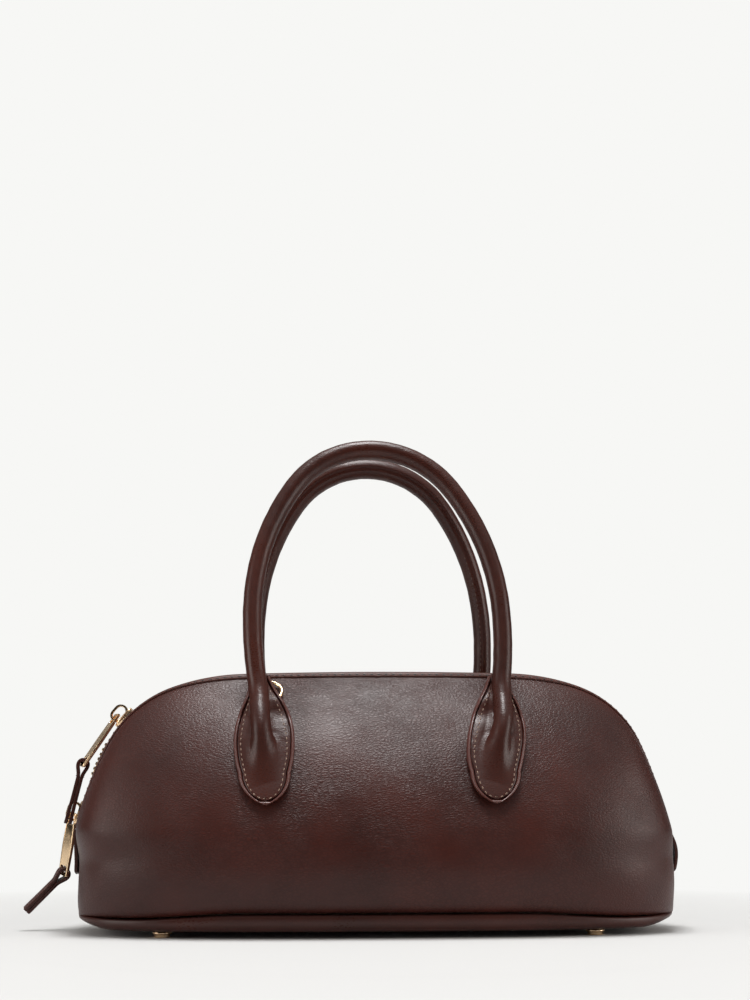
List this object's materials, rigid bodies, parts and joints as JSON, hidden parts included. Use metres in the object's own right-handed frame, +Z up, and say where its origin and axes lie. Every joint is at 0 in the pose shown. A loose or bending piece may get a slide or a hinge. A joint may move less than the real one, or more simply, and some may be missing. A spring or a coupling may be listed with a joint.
{
  "type": "top handle bag",
  "caption": "Low domed leather bag with a wide base, two rolled arch handles on sewn tabs, a two-way metal zip with thonged pulls, and metal feet.",
  "frame": {"origin": "middle of the plane that the feet stand on, midway between the four feet", "axes": "+X along the bag, away from the parked sliders; -Y is the front panel; +Z up"},
  "size_m": [0.3314, 0.1274, 0.2517],
  "materials": {
    "panel_leather": "semi-gloss, fine pebbled grain, dark oxblood brown",
    "handle_leather": "semi-gloss, smoother where it is stretched round the roll",
    "trim_leather": "semi-gloss with painted edges",
    "gold_metal": "polished pale gold plating",
    "zip_teeth": "polished pale gold plating",
    "zip_tape": "woven, dark brown",
    "lining_cloth": "plain woven cotton, brown",
    "stiff_board": "raw fibre board",
    "core_cord": "twisted cotton filler",
    "washer_steel": "plain"
  },
  "bodies": {
    "bag": {"front_panel": "panel_leather", "back_panel": "panel_leather", "base_panel": "panel_leather", "base_band": "trim_leather", "base_board": "stiff_board", "floor_lining": "lining_cloth", "front_lining": "lining_cloth", "back_lining": "lining_cloth", "slip_pocket": "lining_cloth", "feet": "gold_metal", "foot_washers": "washer_steel", "front_zip_tape": "zip_tape", "back_zip_tape": "zip_tape", "front_zip_teeth": "zip_teeth", "back_zip_teeth": "zip_teeth", "front_binding": "trim_leather", "back_binding": "trim_leather", "left_end_tab": "trim_leather", "right_end_tab": "trim_leather", "front_left_patch": "trim_leather", "front_right_patch": "trim_leather", "back_left_patch": "trim_leather", "back_right_patch": "trim_leather", "front_left_tab": "handle_leather", "front_right_tab": "handle_leather", "back_left_tab": "handle_leather", "back_right_tab": "handle_leather", "front_reinforcements": "stiff_board", "back_reinforcements": "stiff_board", "front_ring_keeper": "trim_leather", "back_ring_keeper": "trim_leather"},
    "front_handle": {"front_handle": "handle_leather", "front_handle_core": "core_cord"},
    "back_handle": {"back_handle": "handle_leather", "back_handle_core": "core_cord"},
    "front_strap_ring": {"front_strap_ring": "gold_metal"},
    "back_strap_ring": {"back_strap_ring": "gold_metal"},
    "upper_slider": {"upper_slider": "gold_metal"},
    "upper_pull": {"upper_pull": "gold_metal"},
    "upper_thong": {"upper_thong": "trim_leather"},
    "lower_slider": {"lower_slider": "gold_metal"},
    "lower_pull": {"lower_pull": "gold_metal"},
    "lower_thong": {"lower_thong": "trim_leather"}
  },
  "joints": [
    {"name": "front_handle_tilt", "type": "hinge", "parent": "bag", "child": "front_handle", "pos_m": [0, -0.03436, 0.11789], "axis": [1, 0, 0], "range_deg": [-2, 30]},
    {"name": "back_handle_tilt", "type": "hinge", "parent": "bag", "child": "back_handle", "pos_m": [0, 0.03436, 0.11789], "axis": [-1, 0, 0], "range_deg": [-2, 30]},
    {"name": "front_ring_swing", "type": "hinge", "parent": "bag", "child": "front_strap_ring", "pos_m": [-0.05576, -0.02824, 0.11266], "axis": [0.9996, -0.0288, 0], "range_deg": [0, 5]},
    {"name": "back_ring_swing", "type": "hinge", "parent": "bag", "child": "back_strap_ring", "pos_m": [0.05576, 0.02824, 0.11266], "axis": [-0.9996, 0.0288, 0], "range_deg": [0, 5]},
    {"name": "upper_slider_travel", "type": "hinge", "parent": "bag", "child": "upper_slider", "pos_m": [-0.08548, 0, 0.0707], "axis": [0, 1, 0], "range_deg": [0, 24]},
    {"name": "upper_pull_swing", "type": "hinge", "parent": "upper_slider", "child": "upper_pull", "pos_m": [-0.13322, 0, 0.10756], "axis": [0, 1, 0], "range_deg": [0, 90]},
    {"name": "upper_thong_swing", "type": "hinge", "parent": "upper_pull", "child": "upper_thong", "pos_m": [-0.14864, -0.00474, 0.0819], "axis": [-0.1991, 0.9781, -0.0611], "range_deg": [0, 60]},
    {"name": "lower_slider_travel", "type": "hinge", "parent": "bag", "child": "lower_slider", "pos_m": [0.05703, 0, 0.00725], "axis": [0, 1, 0], "range_deg": [0, 1.5]},
    {"name": "lower_pull_swing", "type": "hinge", "parent": "lower_slider", "child": "lower_pull", "pos_m": [-0.15336, 0, 0.05748], "axis": [0, 1, 0], "range_deg": [0, 80]},
    {"name": "lower_thong_swing", "type": "hinge", "parent": "lower_pull", "child": "lower_thong", "pos_m": [-0.15752, 0.00474, 0.02785], "axis": [-0.3182, 0.9281, 0.1932], "range_deg": [-40, 40]}
  ]
}
